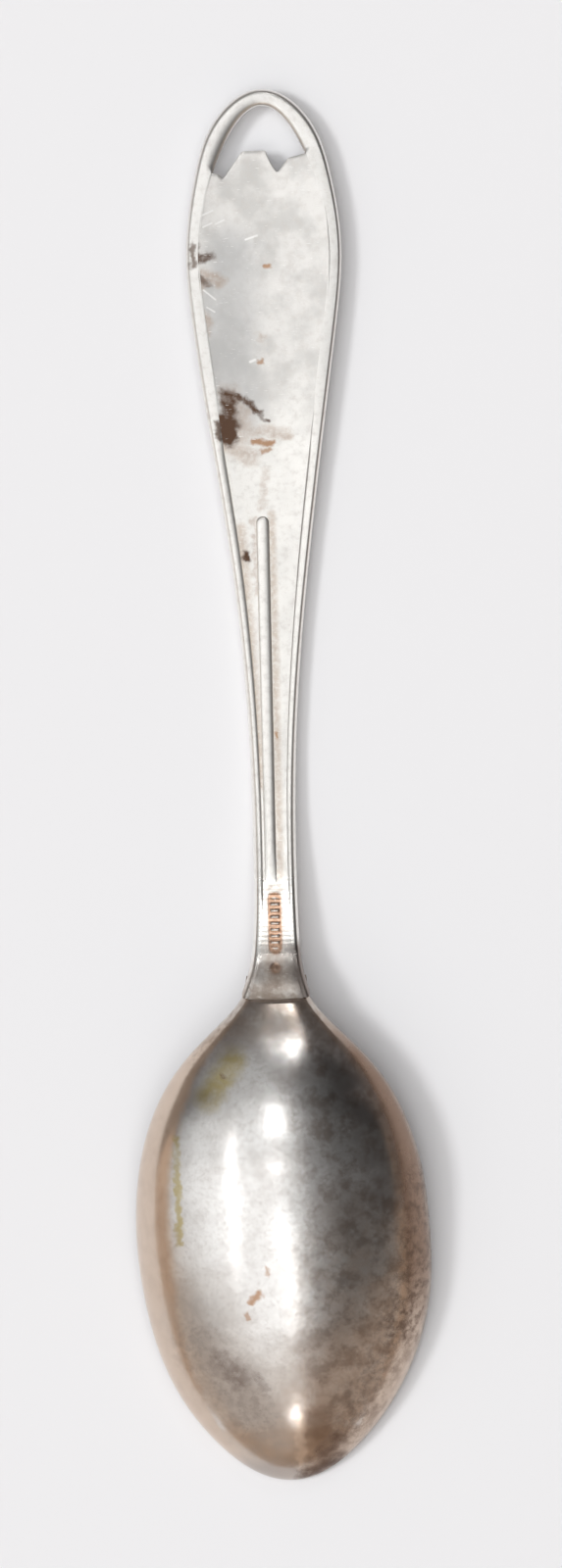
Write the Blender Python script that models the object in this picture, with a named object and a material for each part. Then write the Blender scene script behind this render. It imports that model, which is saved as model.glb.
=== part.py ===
"""A souvenir teaspoon lying face down, so that the backs of its bowl and handle face up.

+Y runs from the bowl to the free end of the handle, +X to the right, and +Z up from the table.
The origin is on the table, under the middle of the spoon. The shapes are worked out in
millimetres and stored in metres. Five pieces are soldered together: the bowl, the handle, a
border wire bent round the handle's edges and free end, a rib on the back, and the layer of
solder in the scarf joint at the heel.
"""

import bisect
import math

import bmesh
import bpy
from mathutils import Vector, geometry

MM = 0.001

# Length: the bowl's tip and the top of the arch are at equal distances from the origin.
LENGTH = 146.0
TIP_Y = -LENGTH / 2
ARCH_Y = LENGTH / 2
# The seam between handle and bowl, on the back.
SEAM_Y = -22.2

# Half-widths of the bowl's rim, as (x, y) from its tip to the seam.
BOWL_RIM = [
    (0.0, TIP_Y),
    (5.3, -71.1),
    (10.1, -66.0),
    (13.9, -58.3),
    (15.4, -49.5),
    (15.45, -44.5),
    (14.8, -37.8),
    (10.45, -30.1),
    (5.95, -25.0),
    (3.67, SEAM_Y),
    (3.03, -19.4),
]
# Half-widths of the handle over its border wire, as (x, y) from below the seam to the arch.
HANDLE_EDGE = [
    (4.1, -23.2),
    (3.1, -20.2),
    (2.42, -15.5),
    (2.22, -8.0),
    (2.31, 0.2),
    (2.95, 12.5),
    (4.24, 24.8),
    (5.95, 37.1),
    (7.6, 48.5),
    (8.12, 55.5),
    (7.2, 63.8),
    (6.0, 67.9),
    (3.05, 71.9),
    (0.0, ARCH_Y),
]
# The spoon is a little out of true: how far to +X its centre line lies, as (y, x).
CENTRE = [
    (-73, 0.0),
    (-54, 0.08),
    (-46, -0.2),
    (-40, 0.15),
    (-35, -0.15),
    (-31, -0.95),
    (-27, -0.95),
    (-23, -0.53),
    (-17, -0.28),
    (-8, -0.2),
    (8, -0.11),
    (24, 0.0),
    (42, -0.04),
    (58, 0.1),
    (73, 0.15),
]

# Heights over the table, as (y, z), of the front: the bowl's rim, then the handle's plate.
FRONT = [
    (TIP_Y, 0.02),
    (-66, 0.25),
    (-58, 0.85),
    (-47, 2.1),
    (-36, 3.75),
    (-29, 4.75),
    (-25, 5.15),
    (SEAM_Y, 4.95),
    (-19.5, 4.15),
    (-16, 2.75),
    (-12.5, 1.5),
    (-9, 0.75),
    (-5, 0.4),
    (-1, 0.35),
    (5, 0.4),
    (12, 0.56),
    (20, 0.84),
    (28, 1.2),
    (36, 1.55),
    (44, 1.75),
]
PLATE_THICKNESS = [(-23, 2.1), (-10, 1.9), (0, 1.85), (12, 1.65), (24, 1.35), (37, 1.2)]

# The bowl: its crown over the rim, from the deepest place to the tip and to the heel.
CROWN = 9.0
CROWN_Y = -46.0
CROWN_TO_HEEL = [
    (CROWN_Y, CROWN),
    (-40, 8.6),
    (-34, 7.1),
    (-30, 5.45),
    (-26, 3.45),
    (SEAM_Y, 2.1),
    (-18, 1.7),
]
BOWL_WALL = 0.85
# Where the hollow begins to close towards the heel, and where it ends.
HOLLOW_CLOSES_Y = (-32.0, -25.6)
HOLLOW_REACH = 3.0
# How square the bowl's section is, from an ellipse over the hollow to a bar at the seam.
BOWL_CORNERS = [(-32, 2.0), (SEAM_Y, 3.2)]
BOWL_TURNS = 24
# The rim's thickness below its line, and half of the blunt end of the bowl's tip.
RIM_EDGE = 0.02

# The border wire: its width along the handle, and how far it stands proud of the plate.
WIRE_WIDTH = [
    (-24, 1.15),
    (-8, 1.15),
    (10, 1.2),
    (30, 1.4),
    (48, 1.45),
    (60, 1.5),
    (64.2, 1.75),
    (66.2, 2.0),
    (69.5, 2.1),
    (ARCH_Y, 1.75),
]
WIRE_PROUD_FRONT = [(-21, 0.0), (-12, 0.35)]
WIRE_PROUD_BACK = [(-20, 0.0), (-10, 0.14), (28, 0.14), (40, 0.02)]
WIRE_CORNERS = 2.6
WIRE_TURNS = 14

# The top edge of the plate, left to right between the shoulders, as (x, y).
SKYLINE = [
    (-4.7, 64.1),
    (-4.1, 63.65),
    (-2.28, 66.25),
    (-2.03, 66.45),
    (0.32, 66.5),
    (0.82, 65.3),
    (1.54, 64.15),
    (2.67, 65.65),
    (3.7, 65.9),
]
SHOULDER_LEFT_Y = 64.2
SHOULDER_RIGHT_Y = 66.2
# The plate is shaped to its heights at every step of this length.
PLATE_STEP = 2.0

# The rib on the back, a little to the left of the middle.
RIB_Y = (-10.3, 28.2)
RIB_X = -0.7
RIB_HALF_WIDTH = (0.6, 0.68)
RIB_HEIGHT = 0.45
RIB_FADE = 5.0
RIB_TURNS = 8
RIB_STATIONS = 28
# The least share of its width and of its height that the rib keeps at its ends.
RIB_ENDS = (0.05, 0.1)

# The struck mark on the back of the stem, kept plain: a sunk panel and one round punch.
PANEL_SIZE = (1.25, 6.0, 0.16)
PANEL_PLACE = (-0.38, -14.4)
PANEL_CORNER = 0.35
PUNCH_PLACE = (-0.45, -19.0)
PUNCH_RADIUS = 0.9
PUNCH_DEPTH = 0.2

# The scarf joint: how far its foot on the front lies beyond its head on the back, the solder
# in it, and the clearance that every soldered face keeps.
SCARF_RUN = 2.2
SOLDER = 0.16
GAP = 0.05

SILVER = (0.83, 0.80, 0.76)
TARNISHED_SILVER = (0.60, 0.55, 0.50)
SOLDER_GREY = (0.30, 0.22, 0.18)


def smooth(knots, place):
    """The value at a place on the smooth line through (place, value) knots, level past its ends."""
    places = [knot[0] for knot in knots]
    values = [knot[1] for knot in knots]
    if place <= places[0]:
        return values[0]
    if place >= places[-1]:
        return values[-1]
    i = bisect.bisect_right(places, place) - 1
    span = places[i + 1] - places[i]

    def slope(k):
        if k in (0, len(knots) - 1):
            return 0.0
        return (values[k + 1] - values[k - 1]) / (places[k + 1] - places[k - 1])

    t = (place - places[i]) / span
    rise = values[i + 1] - values[i]
    start, end = slope(i) * span, slope(i + 1) * span
    return values[i] + t * (start + t * (3 * rise - 2 * start - end + t * (start + end - 2 * rise)))


def curve_through(points, steps, level_start=False, level_end=False):
    """Points along the smooth curve through the given (x, y) ones, with steps to each span."""
    points = [Vector((x, y, 0.0)) for x, y in points]
    headings = []
    for i, point in enumerate(points):
        before = points[max(i - 1, 0)]
        after = points[min(i + 1, len(points) - 1)]
        headings.append((after - before).normalized())
    if level_start:
        headings[0] = Vector((1, 0, 0))
    if level_end:
        headings[-1] = Vector((-1, 0, 0))
    found = []
    for i in range(len(points) - 1):
        third = (points[i + 1] - points[i]).length / 3
        out = points[i] + headings[i] * third
        back = points[i + 1] - headings[i + 1] * third
        found += geometry.interpolate_bezier(points[i], out, back, points[i + 1], steps + 1)[:-1]
    return found + [points[-1]]


def across(points):
    """The unit vector to the left of the way a flat curve runs, at each of its points."""
    found = []
    for i in range(len(points)):
        way = points[min(i + 1, len(points) - 1)] - points[max(i - 1, 0)]
        found.append(Vector((-way.y, way.x, 0)).normalized())
    return found


def centre(y):
    return smooth(CENTRE, y)


def front(y):
    return smooth(FRONT, y)


def plate_back(y):
    return front(y) + smooth(PLATE_THICKNESS, y)


def crown(y, inset):
    """Height of the bowl's back over its rim, on a surface that lies inset below the outside."""
    if y <= CROWN_Y:
        share = min(1.0, (CROWN_Y - y) / (CROWN_Y - TIP_Y - inset))
        return (CROWN - inset) * math.sqrt(1 - share**2)
    return smooth(CROWN_TO_HEEL, y) - inset


def rounded(angle, corners):
    """(x, z) on a superellipse of half-width and half-height 1."""
    x, z = math.cos(angle), math.sin(angle)
    return (
        math.copysign(abs(x) ** (2 / corners), x),
        math.copysign(abs(z) ** (2 / corners), z),
    )


def material(name, colour, roughness):
    made = bpy.data.materials.new(name)
    made.use_nodes = True
    shader = made.node_tree.nodes["Principled BSDF"]
    shader.inputs["Base Color"].default_value = (*colour, 1.0)
    shader.inputs["Metallic"].default_value = 1.0
    shader.inputs["Roughness"].default_value = roughness
    return made


def add_object(name, bm, finish):
    """Stores a shape worked out in millimetres as an object in metres."""
    bmesh.ops.remove_doubles(bm, verts=bm.verts, dist=0.002)
    bmesh.ops.recalc_face_normals(bm, faces=bm.faces)
    bmesh.ops.scale(bm, vec=(MM, MM, MM), verts=bm.verts)
    mesh = bpy.data.meshes.new(name)
    bm.to_mesh(mesh)
    bm.free()
    mesh.shade_smooth()
    mesh.set_sharp_from_angle(angle=math.radians(35))
    if finish:
        mesh.materials.append(finish)
    made = bpy.data.objects.new(name, mesh)
    bpy.context.scene.collection.objects.link(made)
    return made


def loft(rings):
    """A closed skin over rings of points, each with as many points, capped at both ends."""
    bm = bmesh.new()
    rows = [[bm.verts.new(point) for point in ring] for ring in rings]
    for row, after in zip(rows, rows[1:]):
        for i in range(len(row)):
            bm.faces.new((row[i - 1], row[i], after[i], after[i - 1]))
    bm.faces.new(rows[0])
    bm.faces.new(reversed(rows[-1]))
    return bm


def cut_away(bm, point, normal):
    """Removes what lies on the normal's side of a plane, and closes the cut."""
    geom = bm.verts[:] + bm.edges[:] + bm.faces[:]
    cut = bmesh.ops.bisect_plane(
        bm, geom=geom, dist=1e-5, plane_co=point, plane_no=normal, clear_outer=True
    )
    edges = [part for part in cut["geom_cut"] if isinstance(part, bmesh.types.BMEdge)]
    bmesh.ops.holes_fill(bm, edges=edges, sides=0)


def cut_with(piece, cutter):
    cutter.hide_render = True
    cutter.display_type = "WIRE"
    made = piece.modifiers.new("cut_" + cutter.name, "BOOLEAN")
    made.operation = "DIFFERENCE"
    made.solver = "EXACT"
    made.object = cutter


def scarf(offset):
    """(point, normal) of a plane of the scarf joint, offset towards the handle."""
    head = Vector((0, SEAM_Y, plate_back(SEAM_Y)))
    foot = Vector((0, SEAM_Y + SCARF_RUN, front(SEAM_Y + SCARF_RUN)))
    normal = Vector((1, 0, 0)).cross(foot - head).normalized()
    if normal.y < 0:
        normal.negate()
    return head + normal * offset, normal


def bowl_rings(edge, inset, skirt):
    """One ring for each point of the bowl's edge: over its back, then down and across."""
    rings = []
    for point in edge:
        y = point.y
        fade = 1.0
        if inset:
            closing = (y - HOLLOW_CLOSES_Y[0]) / (HOLLOW_CLOSES_Y[1] - HOLLOW_CLOSES_Y[0])
            fade = math.sqrt(1 - min(max(closing, 0.0), 1.0) ** 2)
        half = point.x * fade
        height = crown(y, inset) * fade
        rim = front(y)
        corners = smooth(BOWL_CORNERS, y)
        ring = []
        for i in range(BOWL_TURNS + 1):
            x, z = rounded(math.pi * i / BOWL_TURNS, corners)
            ring.append((centre(y) + half * x, y, rim + height * z))
        ring.append((centre(y) - half, y, rim - skirt))
        ring.append((centre(y) + half, y, rim - skirt))
        rings.append(ring)
    return rings


def make_bowl(finish):
    """The bowl's skin and its tongue, hollowed from the front and cut back at the scarf."""
    edge = curve_through(BOWL_RIM, 4, level_start=True)
    blunt_tip = edge[0] + Vector((RIM_EDGE, 0, 0))
    bm = loft(bowl_rings([blunt_tip] + edge[1:], 0.0, RIM_EDGE))
    point, normal = scarf(-SOLDER / 2 - GAP)
    cut_away(bm, point, normal)
    bowl = add_object("bowl", bm, finish)

    inner = [point + side * BOWL_WALL for point, side in zip(edge, across(edge))]
    inner = [point for point in inner if point.y < HOLLOW_CLOSES_Y[1] - BOWL_WALL / 2]
    inner[0].x = RIM_EDGE
    last = Vector((inner[-1].x, HOLLOW_CLOSES_Y[1] - RIM_EDGE, 0))
    rings = bowl_rings(inner + [last], BOWL_WALL, HOLLOW_REACH)
    cut_with(bowl, add_object("bowl_hollow_cutter", loft(rings), None))
    return bowl


def wire_line():
    """The handle's outer edge up the right side, with the inward direction and wire width."""
    edge = curve_through(HANDLE_EDGE, 5, level_end=True)
    sides = across(edge)
    sides[-1] = Vector((0, -1, 0))
    return [(point, side, smooth(WIRE_WIDTH, point.y)) for point, side in zip(edge, sides)]


def make_border_wire(finish):
    rings = []
    for point, side, width in wire_line():
        low = front(point.y) - smooth(WIRE_PROUD_FRONT, point.y)
        high = plate_back(point.y) + smooth(WIRE_PROUD_BACK, point.y)
        middle = point + side * width / 2
        ring = []
        for i in range(WIRE_TURNS):
            x, z = rounded(2 * math.pi * (i + 0.5) / WIRE_TURNS, WIRE_CORNERS)
            place = middle - side * x * width / 2
            place.x += centre(place.y)
            place.z = (low + high) / 2 + z * (high - low) / 2
            ring.append(place)
        rings.append(ring)
    for ring in reversed(rings[:-1]):
        rings.append([Vector((2 * centre(p.y) - p.x, p.y, p.z)) for p in ring])
    bm = loft(rings)
    cut_away_below_seam(bm)
    return add_object("border_wire", bm, finish)


def cut_away_below_seam(bm):
    point, normal = scarf(SOLDER / 2 + GAP)
    cut_away(bm, point, -normal)


def plate_outline():
    """The plate's edge as (x, y): up the right side, along the skyline, and down the left."""
    inner = [point + side * (width + GAP) for point, side, width in wire_line()]
    sides = {}
    for way, shoulder in ((1, SHOULDER_RIGHT_Y), (-1, SHOULDER_LEFT_Y)):
        below = [point for point in inner if point.y < shoulder]
        last, after = below[-1], inner[len(below)]
        corner = last.lerp(after, (shoulder - last.y) / (after.y - last.y))
        sides[way] = [(way * point.x, point.y) for point in below + [corner]]
    return sides[1] + SKYLINE[::-1] + sides[-1][::-1]


def make_handle(finish):
    bm = bmesh.new()
    outline = [bm.verts.new((x, y, 0)) for x, y in plate_outline()]
    flat = bm.faces.new(outline)
    raised = bmesh.ops.extrude_face_region(bm, geom=[flat])["geom"]
    top = {part for part in raised if isinstance(part, bmesh.types.BMVert)}
    bmesh.ops.translate(bm, vec=(0, 0, 1), verts=list(top))
    level_y = FRONT[-1][0]
    for step in range(math.ceil((level_y - SEAM_Y) / PLATE_STEP) + 1):
        geom = bm.verts[:] + bm.edges[:] + bm.faces[:]
        place = (0, SEAM_Y - 1 + step * PLATE_STEP, 0)
        bmesh.ops.bisect_plane(bm, geom=geom, dist=1e-5, plane_co=place, plane_no=(0, 1, 0))
    for vert in bm.verts:
        x, y, share = vert.co
        vert.co = (x + centre(y), y, front(y) + share * (plate_back(y) - front(y)))
    bmesh.ops.triangulate(bm, faces=bm.faces)
    cut_away_below_seam(bm)
    handle = add_object("handle", bm, finish)
    cut_with(handle, panel_cutter())
    cut_with(handle, punch_cutter())
    return handle


def panel_cutter():
    width, length, depth = PANEL_SIZE
    x, y = PANEL_PLACE
    bm = bmesh.new()
    bmesh.ops.create_cube(bm, size=1)
    bmesh.ops.scale(bm, vec=(width, length, 1), verts=bm.verts)
    uprights = [edge for edge in bm.edges if abs(edge.verts[0].co.z - edge.verts[1].co.z) > 0.5]
    bmesh.ops.bevel(
        bm,
        geom=uprights,
        offset=PANEL_CORNER,
        segments=3,
        profile=0.5,
        affect="EDGES",
        material=-1,
    )
    for share in (-1 / 3, -1 / 6, 0, 1 / 6, 1 / 3):
        geom = bm.verts[:] + bm.edges[:] + bm.faces[:]
        place = (0, share * length, 0)
        bmesh.ops.bisect_plane(bm, geom=geom, dist=1e-5, plane_co=place, plane_no=(0, 1, 0))
    for vert in bm.verts:
        up = vert.co.z > 0
        along = y + vert.co.y
        vert.co = (x + vert.co.x, along, plate_back(along) + (1.0 if up else -depth))
    return add_object("panel_cutter", bm, None)


def punch_cutter():
    x, y = PUNCH_PLACE
    bm = bmesh.new()
    bmesh.ops.create_uvsphere(bm, u_segments=16, v_segments=10, radius=PUNCH_RADIUS)
    height = plate_back(y) + PUNCH_RADIUS - PUNCH_DEPTH
    bmesh.ops.translate(bm, vec=(x, y, height), verts=bm.verts)
    return add_object("punch_cutter", bm, None)


def make_back_rib(finish):
    """A half-round bar: round at its upper end, and thinning out to nothing at its lower end."""
    rings = []
    start, end = RIB_Y
    for k in range(RIB_STATIONS + 1):
        share = 0.5 - 0.5 * math.cos(math.pi * k / RIB_STATIONS)
        y = start + share * (end - start)
        half = RIB_HALF_WIDTH[0] + share * (RIB_HALF_WIDTH[1] - RIB_HALF_WIDTH[0])
        round_end = math.sqrt(max(0.0, 1 - max(0.0, 1 - (end - y) / half) ** 2))
        fade = min(1.0, (y - start) / RIB_FADE)
        width = half * max(round_end, RIB_ENDS[0])
        height = RIB_HEIGHT * max(round_end * math.sqrt(fade), RIB_ENDS[1])
        foot = plate_back(y) + GAP
        ring = []
        for i in range(RIB_TURNS + 1):
            angle = math.pi * i / RIB_TURNS
            ring.append((RIB_X + width * math.cos(angle), y, foot + height * math.sin(angle)))
        rings.append(ring)
    return add_object("back_rib", loft(rings), finish)


def make_heel_solder(finish):
    """The layer of solder between the two faces of the scarf joint."""
    edge = [point for point in curve_through(BOWL_RIM, 4) if point.y > SEAM_Y - SCARF_RUN]
    bm = loft(bowl_rings(edge, 0.0, RIM_EDGE))
    point, normal = scarf(SOLDER / 2)
    cut_away(bm, point, normal)
    point, normal = scarf(-SOLDER / 2)
    cut_away(bm, point, -normal)
    return add_object("heel_solder", bm, finish)


def main():
    for old in list(bpy.data.objects):
        bpy.data.objects.remove(old, do_unlink=True)
    silver = material("silver", SILVER, 0.25)
    make_bowl(material("bowl_silver", TARNISHED_SILVER, 0.18))
    make_handle(silver)
    make_border_wire(silver)
    make_back_rib(silver)
    make_heel_solder(material("solder", SOLDER_GREY, 0.45))


main()
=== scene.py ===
"""The looks of a silver souvenir teaspoon, lying face down so that its backs show.

Shapes are worked out in millimetres in the frame's axes (+Y towards the arch at the handle's
end, +X to the right, +Z up from the table) and stored in metres.
"""

import math

import bmesh
import bpy
import numpy as np
from mathutils import Matrix, Vector


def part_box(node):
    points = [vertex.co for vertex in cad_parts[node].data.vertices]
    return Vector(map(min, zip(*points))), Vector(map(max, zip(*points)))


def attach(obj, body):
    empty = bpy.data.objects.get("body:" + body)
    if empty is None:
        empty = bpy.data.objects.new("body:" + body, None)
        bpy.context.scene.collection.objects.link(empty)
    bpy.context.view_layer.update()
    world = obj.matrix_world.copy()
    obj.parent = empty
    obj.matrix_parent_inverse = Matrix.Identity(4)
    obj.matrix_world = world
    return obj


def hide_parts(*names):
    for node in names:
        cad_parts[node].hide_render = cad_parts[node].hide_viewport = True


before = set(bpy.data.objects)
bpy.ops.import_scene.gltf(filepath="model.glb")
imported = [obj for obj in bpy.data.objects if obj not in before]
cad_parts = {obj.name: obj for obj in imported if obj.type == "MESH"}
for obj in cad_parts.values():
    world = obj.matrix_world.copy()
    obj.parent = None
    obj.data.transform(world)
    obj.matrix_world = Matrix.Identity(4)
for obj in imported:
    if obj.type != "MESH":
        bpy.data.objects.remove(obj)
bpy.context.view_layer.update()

MM = 0.001
HALF_LENGTH = 73.0


def in_mm(node):
    """(lowest, highest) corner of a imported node, in millimetres."""
    low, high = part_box(node)
    return Vector(low) / MM, Vector(high) / MM


TIP_Y = in_mm("bowl")[0].y
ARCH_Y = in_mm("border_wire")[1].y
RIB_LOW, RIB_HIGH = in_mm("back_rib")
# Where the scarf joint comes up to the back, a little above the solder's lower end.
SOLDER_END = 0.16
SEAM_Y = in_mm("heel_solder")[0].y + SOLDER_END
# How much nearer to the arch the joint reaches the front, and half the gap that solder fills.
SCARF_RUN = 2.2
SOLDER_GAP = 0.02


# ---------------------------------------------------------------- smooth lines and lofted skins


def spline(knots):
    """A function whose line passes through (place, value) knots with no kink in its curvature."""
    places = np.array([knot[0] for knot in knots], float)
    values = np.array([knot[1] for knot in knots], float)
    spans = np.diff(places)
    slopes = np.diff(values) / spans
    count = len(knots)
    matrix = np.eye(count)
    right = np.zeros(count)
    for i in range(1, count - 1):
        matrix[i, i - 1 : i + 2] = spans[i - 1], 2 * (spans[i - 1] + spans[i]), spans[i]
        right[i] = 6 * (slopes[i] - slopes[i - 1])
    bends = np.linalg.solve(matrix, right)

    def at(place):
        place = min(max(place, places[0]), places[-1])
        i = min(int(np.searchsorted(places, place, side="right")) - 1, count - 2)
        i = max(i, 0)
        near, far = place - places[i], places[i + 1] - place
        span = spans[i]
        cubic = (bends[i] * far**3 + bends[i + 1] * near**3) / (6 * span)
        start = (values[i] / span - bends[i] * span / 6) * far
        end = (values[i + 1] / span - bends[i + 1] * span / 6) * near
        return float(cubic + start + end)

    return at


def ease(edge0, edge1, value):
    """0 before edge0 and 1 past edge1, smoothly between."""
    share = min(max((value - edge0) / (edge1 - edge0), 0.0), 1.0)
    return share * share * (3 - 2 * share)


def squared(knots):
    """The knots with squared values, for a half-width that closes in a round end."""
    return [(place, value * value) for place, value in knots]


# How far to +X the centre line lies: the spoon is a little out of true.
centre = spline(
    [
        (-73, 0.0),
        (-62, 0.0),
        (-54, 0.03),
        (-50, -0.12),
        (-46, -0.3),
        (-41, -0.4),
        (-36, -0.5),
        (-31, -0.56),
        (-26, -0.58),
        (-22, -0.46),
        (-17, -0.28),
        (-8, -0.2),
        (8, -0.11),
        (24, 0.0),
        (42, -0.05),
        (58, 0.11),
        (73, 0.16),
    ]
)
# Height of the front over the table: the bowl's rim, then the face of the handle's plate.
front = spline(
    [
        (-73, 0.02),
        (-66, 0.25),
        (-58, 0.85),
        (-47, 2.1),
        (-36, 3.75),
        (-29, 4.75),
        (-25, 5.15),
        (-22.2, 4.95),
        (-20.2, 4.2),
        (-18, 3.05),
        (-16, 2.52),
        (-12.5, 1.98),
        (-9, 1.45),
        (-5, 0.9),
        (0, 0.5),
        (5, 0.4),
        (12, 0.56),
        (20, 0.84),
        (28, 1.2),
        (36, 1.55),
        (43, 1.74),
        (50, 1.75),
        (60, 1.75),
        (73, 1.75),
    ]
)
plate_thickness = spline(
    [
        (-26, 2.15),
        (-23, 2.1),
        (-10, 1.9),
        (0, 1.85),
        (12, 1.65),
        (24, 1.35),
        (37, 1.2),
        (50, 1.2),
        (73, 1.2),
    ]
)


def plate_back(y):
    """Height of the back of the handle's plate over the table."""
    return front(y) + plate_thickness(y)


def rounded(angle, corners):
    """(x, z) on a superellipse of half-width and half-height 1."""
    x, z = math.cos(angle), math.sin(angle)
    return (
        math.copysign(abs(x) ** (2 / corners), x),
        math.copysign(abs(z) ** (2 / corners), z),
    )


def skin(around, along, place):
    """A closed skin: a grid rolled up so that place(turn, share) gives each of its points."""
    bm = bmesh.new()
    bmesh.ops.create_grid(bm, x_segments=around, y_segments=along, size=1)
    for vert in bm.verts:
        turn = (vert.co.x + 1) / 2
        share = (vert.co.y + 1) / 2
        vert.co = place(turn, share)
    bmesh.ops.remove_doubles(bm, verts=bm.verts, dist=1e-4)
    close_holes(bm)
    return bm


def close_holes(bm):
    edges = [edge for edge in bm.edges if edge.is_boundary]
    if edges:
        bmesh.ops.holes_fill(bm, edges=edges, sides=0)
    bmesh.ops.recalc_face_normals(bm, faces=bm.faces)


def cut_away(bm, point, normal):
    """Removes what lies on the normal's side of a plane, and closes the cut."""
    geom = bm.verts[:] + bm.edges[:] + bm.faces[:]
    bmesh.ops.bisect_plane(
        bm, geom=geom, dist=1e-5, plane_co=point, plane_no=normal, clear_outer=True
    )
    close_holes(bm)


def as_piece(name, bm, sharp=40):
    """Stores a shape worked out in millimetres as an object in metres, at the origin."""
    bmesh.ops.scale(bm, vec=(MM, MM, MM), verts=bm.verts)
    mesh = bpy.data.meshes.new(name)
    bm.to_mesh(mesh)
    bm.free()
    mesh.shade_smooth()
    mesh.set_sharp_from_angle(angle=math.radians(sharp))
    piece = bpy.data.objects.new(name, mesh)
    bpy.context.scene.collection.objects.link(piece)
    return piece


def carve(piece, bm):
    """Cuts a closed shape out of a piece, for good."""
    cutter = as_piece("cutter", bm)
    cut = piece.modifiers.new("cut", "BOOLEAN")
    cut.operation = "DIFFERENCE"
    cut.solver = "EXACT"
    cut.object = cutter
    graph = bpy.context.evaluated_depsgraph_get()
    made = bpy.data.meshes.new_from_object(piece.evaluated_get(graph))
    piece.modifiers.remove(cut)
    old = piece.data
    piece.data = made
    bpy.data.meshes.remove(old)
    bpy.data.objects.remove(cutter)
    return piece


def stands_for(piece, node, finish):
    """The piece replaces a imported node, and takes its finish."""
    piece.data.materials.clear()
    piece.data.materials.append(finish)
    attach(piece, "root")
    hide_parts(node)


def scarf(offset):
    """(point, normal) of a plane of the scarf joint at the heel, offset towards the handle."""
    foot_y = SEAM_Y + SCARF_RUN
    run = Vector((0, foot_y - SEAM_Y, front(foot_y) - plate_back(SEAM_Y)))
    normal = Vector((0, -run.z, run.y)).normalized()
    return Vector((0, SEAM_Y, plate_back(SEAM_Y))) + normal * offset, normal


# ---------------------------------------------------------------- the bowl

CROWN = 9.0
CROWN_Y = -46.0
WALL = 0.85
LIP = 0.28
TONGUE_Y = -19.6
# The hollow: where it starts to close, where it ends, and how far its cutter hangs out below.
CLOSES_Y = -32.0
HOLLOW_Y = -25.6
CUTTER_DROP = 3.0
# Where the bowl is narrower than this, the hollow comes nearer to its edge.
NARROW = 4
# How square the sections are: an ellipse at the crown, squarer at the heel and underneath.
SQUARER_FROM, SQUARER_TO = -32, -22.2
BOWL_CORNERS = 2.0
HEEL_CORNERS = 3.2
UNDER_CORNERS = 5.0
# Half the bowl's width.
bowl_half = spline(
    squared(
        [
            (-73, 0.0),
            (-70, 6.5),
            (-65, 10.76),
            (-58, 13.97),
            (-51, 15.25),
            (-46, 15.36),
            (-41, 14.95),
            (-36, 13.75),
            (-32, 12.0),
            (-28.5, 9.55),
            (-25, 6.1),
            (-22.2, 3.67),
            (-19.4, 3.03),
        ]
    )
)


def tip_round(y):
    return 1 - ((CROWN_Y - y) / (CROWN_Y + HALF_LENGTH)) ** 2


# Height of the back over the rim, squared, as a share of the crown's.
bowl_crown = spline(
    [(y, tip_round(y)) for y in (-73, -66, -59, -52.5, -46)]
    + [(-40, 0.913), (-34, 0.625), (-30, 0.367), (-26, 0.148), (-22.2, 0.0545), (-18, 0.033)]
)


def bowl_section(y, turn, inset=0.0):
    """One point of a ring round the bowl: over its back, then along its underside.

    With an inset it is a ring of the hollow, whose underside hangs out below the rim.
    """
    closing = 1.0
    reach = y
    if inset:
        closed = min(max((y - CLOSES_Y) / (HOLLOW_Y - CLOSES_Y), 0.0), 1.0)
        closing = math.sqrt(max(0.0, 1 - closed**2))
        if y < CROWN_Y:
            share = (CROWN_Y - y) / (CROWN_Y - TIP_Y - inset)
            reach = CROWN_Y - min(share, 1.0) * (CROWN_Y - TIP_Y)
    half = math.sqrt(max(bowl_half(reach), 0.0))
    half = max(half - inset * min(1.0, half / NARROW), 0.0) * closing
    angle = 2 * math.pi * turn
    if turn <= 0.5:
        crown = (CROWN - LIP - inset) * math.sqrt(max(bowl_crown(reach), 0.0)) * closing
        heel = ease(SQUARER_FROM, SQUARER_TO, y)
        x, z = rounded(angle, BOWL_CORNERS + (HEEL_CORNERS - BOWL_CORNERS) * heel)
        height = crown * z
    else:
        lip = LIP * math.sqrt(max(0.0, 1 - max(0.0, 1 - (y - TIP_Y) / LIP) ** 2))
        x, z = rounded(angle, UNDER_CORNERS)
        height = CUTTER_DROP * z if inset else lip * z
    return Vector((centre(y) + half * x, y, front(y) + LIP + height))


def make_bowl():
    """The bowl with the tongue at its heel, hollowed from below."""

    def outside(turn, share):
        """Rings closer together at the tip, where the back curves fastest."""
        spread = 1 - math.cos(math.pi / 2 * share)
        return bowl_section(TIP_Y + (TONGUE_Y - TIP_Y) * spread, turn)

    def inside(turn, share):
        start = TIP_Y + WALL
        return bowl_section(start + (HOLLOW_Y - start) * ease(0, 1, share), turn, WALL)

    bm = skin(144, 190, outside)
    point, normal = scarf(-SOLDER_GAP)
    cut_away(bm, point, normal)
    return carve(as_piece("bowl_shell", bm), skin(112, 130, inside))


# ---------------------------------------------------------------- the border wire and the plate

# Where the wire leaves the plate and goes on alone as the arch, on the left and on the right.
SHOULDERS = {-1: 64.2, 1: 66.2}
# Wire and plate are made from here, below the joint at the heel, and cut at the joint.
HANDLE_START_Y = -23.6
# Half the handle's width, over the wires.
edge_half = spline(
    squared(
        [
            (-24.5, 4.65),
            (-20.2, 3.1),
            (-15.5, 2.4),
            (-8.0, 2.23),
            (0.2, 2.31),
            (12.5, 2.95),
            (24.8, 4.24),
            (37.1, 5.96),
            (48.5, 7.56),
            (56.5, 8.13),
            (63.8, 7.16),
            (68.5, 5.70),
            (71.3, 3.65),
            (73, 0.0),
        ]
    )
)
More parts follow.
